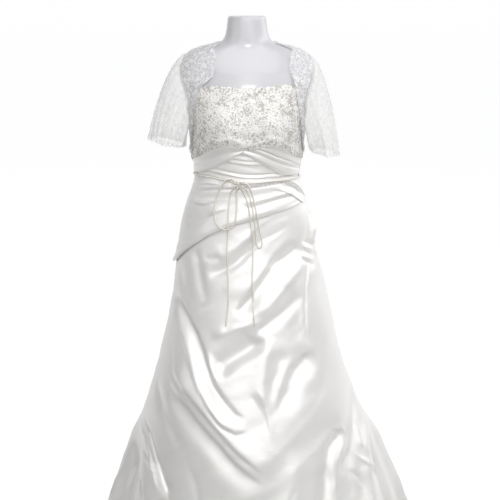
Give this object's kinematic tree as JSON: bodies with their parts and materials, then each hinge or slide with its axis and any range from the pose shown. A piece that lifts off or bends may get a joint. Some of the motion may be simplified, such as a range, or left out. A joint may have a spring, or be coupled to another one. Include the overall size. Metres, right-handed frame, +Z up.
{
  "type": "wedding dress on dress form",
  "caption": "Floor-length satin wedding dress with a beaded lace bodice, crossed bands, draped skirt and tied cord, under a lace bolero, on a limbless dress form with a round base.",
  "frame": {"origin": "centre of the underside of the stand's base, on the floor", "axes": "+Z up; the front of the dress faces -Y; +X is the viewer's right"},
  "size_m": [0.919, 0.8747, 1.489],
  "materials": {
    "satin": "glossy ivory-white satin",
    "beaded_lace": "ivory lace covered in silver-champagne beads",
    "net_lace": "fine white net with embroidered flowers",
    "satin_cord": "white satin cord",
    "form_shell": "glossy white shell",
    "stand_metal": "white powder coat"
  },
  "bodies": {
    "root": {"band_left": "satin", "band_right_lower": "satin", "band_right_upper": "satin", "midriff_front": "satin", "midriff_back_left": "satin", "midriff_back_right": "satin", "wrap_front": "satin", "wrap_back_left": "satin", "wrap_back_right": "satin", "skirt_front": "satin", "skirt_side_left": "satin", "skirt_side_right": "satin", "skirt_back_left": "satin", "skirt_back_right": "satin", "back_zip": "satin", "bodice_front": "beaded_lace", "bodice_back_left": "beaded_lace", "bodice_back_right": "beaded_lace", "bolero_front_left": "net_lace", "bolero_front_right": "net_lace", "bolero_back": "net_lace", "sleeve_left": "net_lace", "sleeve_right": "net_lace", "waist_cord": "satin_cord", "bow_knot": "satin_cord", "bow_loop_left": "satin_cord", "bow_loop_right": "satin_cord", "cord_end_left": "satin_cord", "cord_end_right": "satin_cord", "form_body": "form_shell", "form_pole": "stand_metal", "form_base": "stand_metal"}
  },
  "joints": []
}
